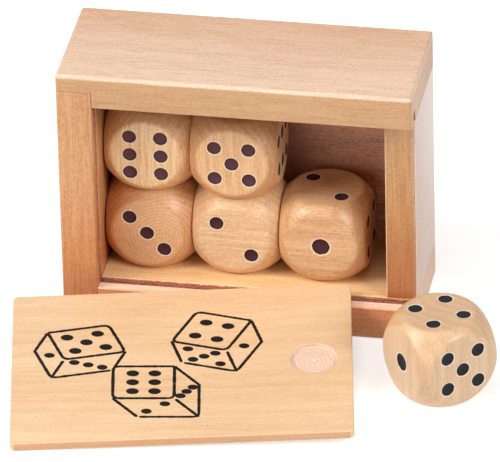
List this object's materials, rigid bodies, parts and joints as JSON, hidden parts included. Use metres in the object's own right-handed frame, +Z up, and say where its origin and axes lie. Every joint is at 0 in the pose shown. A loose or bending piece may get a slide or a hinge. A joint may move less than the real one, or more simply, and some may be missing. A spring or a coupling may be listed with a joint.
{
  "type": "dice box with sliding lid",
  "caption": "Wooden box with thick boards, open at the front, a grooved sliding lid taken out and leaning on it, and rounded wooden dice inside and beside it.",
  "frame": {"origin": "middle of the box's underside, on the table", "axes": "+X along the box towards the low end that the lid slides out over, -Y out of the box's open front, +Z up"},
  "size_m": [0.1387, 0.112, 0.078],
  "materials": {
    "box_board": "sanded beech, unvarnished, fine grain along the board",
    "end_board": "sanded beech, warmer in tone, with end grain at its ends",
    "back_ply": "plain reddish plywood, unvarnished",
    "lid_board": "sanded pale board with a black printed line drawing",
    "die_wood": "polished pale hardwood with near-black painted pips"
  },
  "bodies": {
    "box": {"top_board": "box_board", "bottom_board": "box_board", "closed_end_board": "end_board", "low_end_board": "end_board", "back_panel": "back_ply"},
    "lid": {"sliding_lid": "lid_board"},
    "upper_left": {"upper_left_die": "die_wood"},
    "upper_middle": {"upper_middle_die": "die_wood"},
    "lower_left": {"lower_left_die": "die_wood"},
    "lower_middle": {"lower_middle_die": "die_wood"},
    "lower_right": {"lower_right_die": "die_wood"},
    "stray": {"stray_die": "die_wood"}
  },
  "joints": [
    {"name": "lid_lift", "type": "slide", "parent": "box", "child": "lid", "axis": [0, -0.7071, 0.7071], "range_m": [0, 0.12]},
    {"name": "upper_left_die_out", "type": "slide", "parent": "box", "child": "upper_left", "axis": [0, -1, 0], "range_m": [0, 0.045]},
    {"name": "upper_middle_die_out", "type": "slide", "parent": "box", "child": "upper_middle", "axis": [0, -1, 0], "range_m": [0, 0.045]},
    {"name": "lower_left_die_forward", "type": "slide", "parent": "box", "child": "lower_left", "axis": [0, -1, 0], "range_m": [0, 0.012]},
    {"name": "lower_middle_die_forward", "type": "slide", "parent": "box", "child": "lower_middle", "axis": [0, -1, 0], "range_m": [0, 0.008]},
    {"name": "lower_right_die_out", "type": "slide", "parent": "box", "child": "lower_right", "axis": [0, -0.8192, 0.5736], "range_m": [0, 0.045]},
    {"name": "stray_die_lift", "type": "slide", "parent": "box", "child": "stray", "axis": [0, 0, 1], "range_m": [0, 0.05]}
  ]
}
